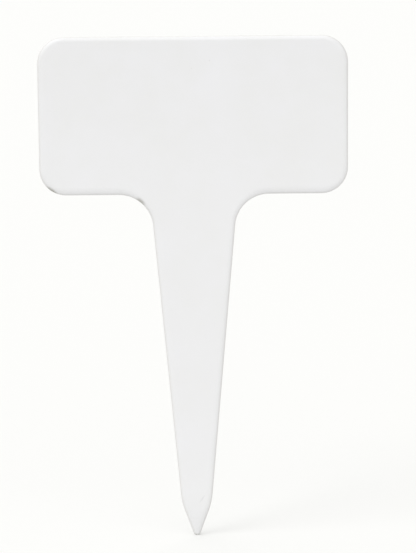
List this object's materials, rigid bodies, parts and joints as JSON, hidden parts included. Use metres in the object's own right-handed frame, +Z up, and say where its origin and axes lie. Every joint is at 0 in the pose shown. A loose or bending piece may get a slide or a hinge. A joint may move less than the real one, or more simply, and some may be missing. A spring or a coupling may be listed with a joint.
{
  "type": "plant label stake",
  "caption": "T-shaped moulded plastic plant label with a rounded rectangular writing head and a tapered, pointed blade that pushes into the soil.",
  "frame": {"origin": "lowest point of the blade's tip, half way through the thickness", "axes": "+Z up the blade towards the head, +X to the right across the head as the writing face is read, +Y away from the reader, so that the writing face looks to -Y and the flat back to +Y"},
  "size_m": [0.06, 0.0016, 0.1],
  "materials": {
    "moulded_plastic": "white polypropylene, injection moulded, with a fine matt face that takes pencil and marker"
  },
  "bodies": {
    "root": {"label_stake": "moulded_plastic"}
  },
  "joints": []
}
